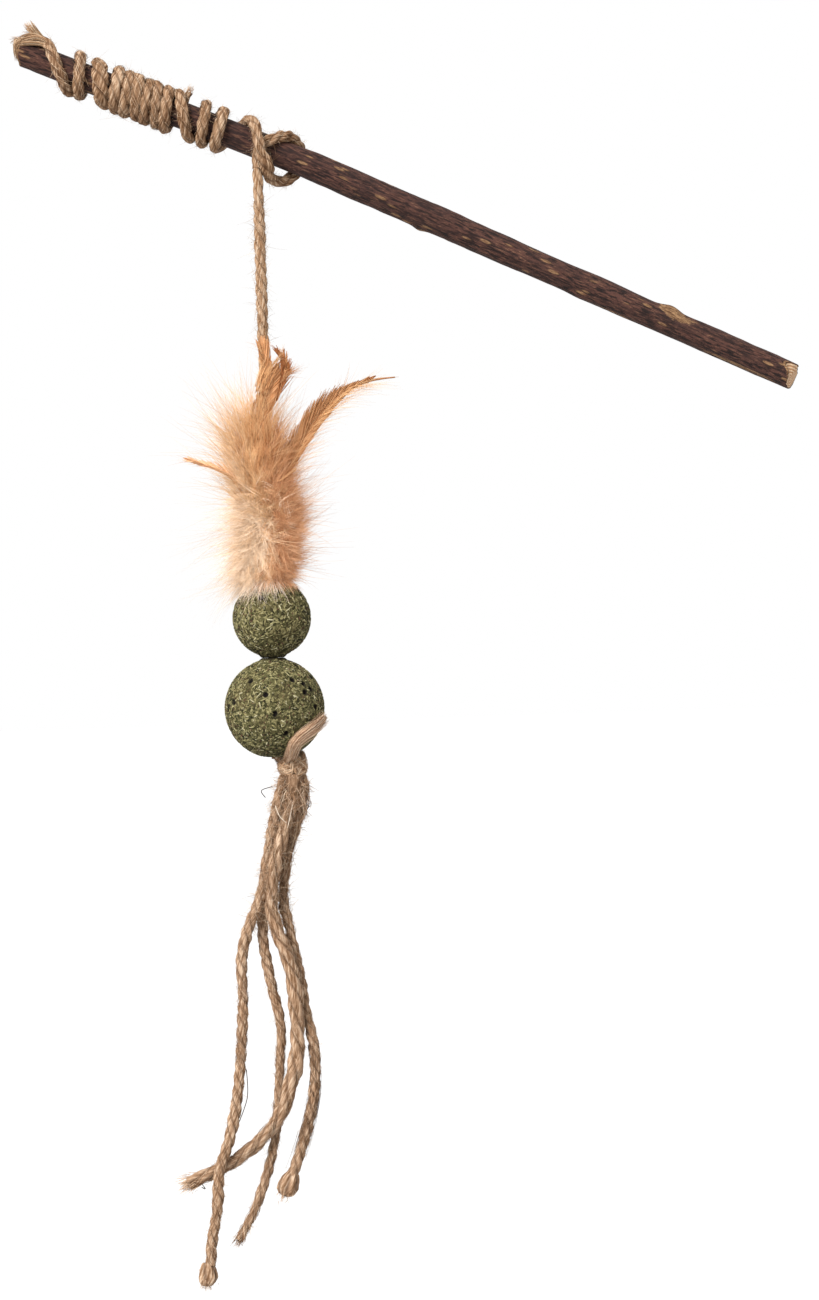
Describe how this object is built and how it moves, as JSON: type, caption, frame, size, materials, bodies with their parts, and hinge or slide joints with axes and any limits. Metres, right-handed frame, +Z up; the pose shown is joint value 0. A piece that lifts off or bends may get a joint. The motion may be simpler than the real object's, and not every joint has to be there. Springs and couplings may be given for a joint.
{
  "type": "cat teaser wand",
  "caption": "Natural stick with a twine-bound grip, and a twine line that carries feathers, two pressed herb balls and a twine tassel.",
  "frame": {"origin": "centre of the bound grip, on the stick's axis", "axes": "+Z up, +X level, from the grip towards the stick's tip, +Y away from the side where the line hangs; the line hangs along -Z"},
  "size_m": [0.2323, 0.0297, 0.3803],
  "materials": {
    "bark": "natural bark",
    "twine": "natural jute",
    "strand": "natural jute, loose",
    "herb": "pressed dried leaf, matt",
    "rust_feather": "rust brown feather",
    "tan_feather": "tan feather",
    "cream_down": "cream down"
  },
  "bodies": {
    "wand": {"stick": "bark", "grip_winding": "twine", "frayed_start": "twine", "tucked_end": "twine", "hitch": "twine"},
    "line_neck": {"drop_neck": "twine"},
    "lure": {"drop_cord": "twine", "lure_cord": "twine", "quill_knot": "twine", "feather_top": "rust_feather", "feather_right": "tan_feather", "feather_left": "cream_down", "down_plume": "tan_feather", "stopper_knot": "twine", "knot_tail": "strand"},
    "small_bead": {"small_ball": "herb"},
    "large_bead": {"large_ball": "herb"},
    "tassel_top": {"tassel_head": "strand"},
    "tassel": {"strand_left": "strand", "strand_middle": "strand", "strand_frayed": "strand", "strand_right": "strand", "left_end_knot": "strand", "right_end_knot": "strand"}
  },
  "joints": [
    {"name": "drop_swing", "type": "hinge", "parent": "wand", "child": "line_neck", "pos_m": [0.03624, -0.00545, -0.02452], "axis": [0, 1, 0], "range_deg": [-28, 80]},
    {"name": "drop_tilt", "type": "hinge", "parent": "line_neck", "child": "lure", "pos_m": [0.03624, -0.00545, -0.03152], "axis": [1, 0, 0], "range_deg": [-75, 75]},
    {"name": "small_ball_spin", "type": "hinge", "parent": "lure", "child": "small_bead", "pos_m": [0.03624, -0.00545, -0.15752], "axis": [0, 0, 1], "continuous": true},
    {"name": "large_ball_spin", "type": "hinge", "parent": "lure", "child": "large_bead", "pos_m": [0.03624, -0.00545, -0.18452], "axis": [0, 0, 1], "continuous": true},
    {"name": "tassel_swing", "type": "hinge", "parent": "lure", "child": "tassel_top", "pos_m": [0.04104, -0.00545, -0.20894], "axis": [0, 1, 0], "range_deg": [-50, 50]},
    {"name": "tassel_tilt", "type": "hinge", "parent": "tassel_top", "child": "tassel", "pos_m": [0.04104, -0.00545, -0.20894], "axis": [1, 0, 0], "range_deg": [-50, 50]}
  ]
}
